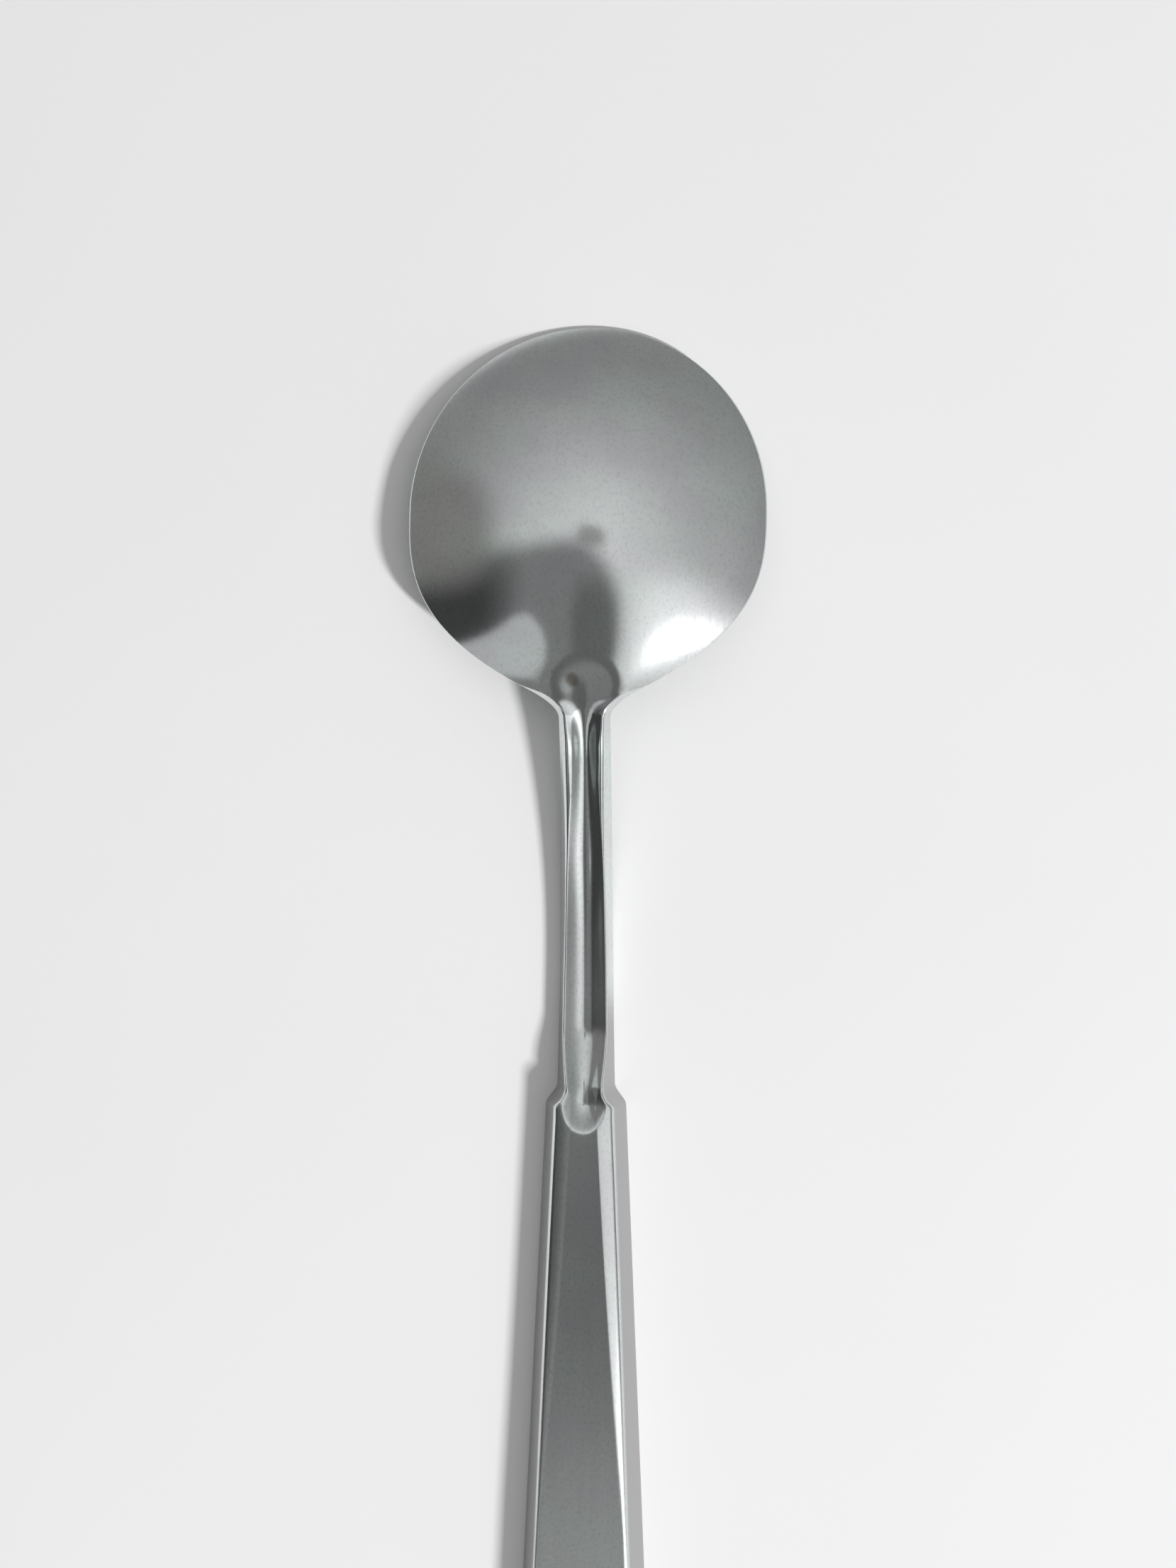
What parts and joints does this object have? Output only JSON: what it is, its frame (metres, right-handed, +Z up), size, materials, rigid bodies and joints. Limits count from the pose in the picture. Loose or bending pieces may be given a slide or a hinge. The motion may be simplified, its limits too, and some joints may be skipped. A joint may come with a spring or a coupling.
{
  "type": "soup spoon",
  "caption": "Soup spoon pressed from steel sheet, with a round bowl, a narrow grooved neck and a tapered handle with turned-down edges, lying face down.",
  "frame": {"origin": "on the table, below the middle of the spoon's bounding box", "axes": "+Y runs along the spoon to the tip of the bowl, +Z is up from the table, and the back of the bowl faces up"},
  "size_m": [0.0524, 0.1999, 0.0152],
  "materials": {
    "steel": "satin stainless steel with fine wear"
  },
  "bodies": {
    "root": {"bowl": "steel", "heel": "steel", "neck": "steel", "handle": "steel", "handle_end": "steel"}
  },
  "joints": []
}
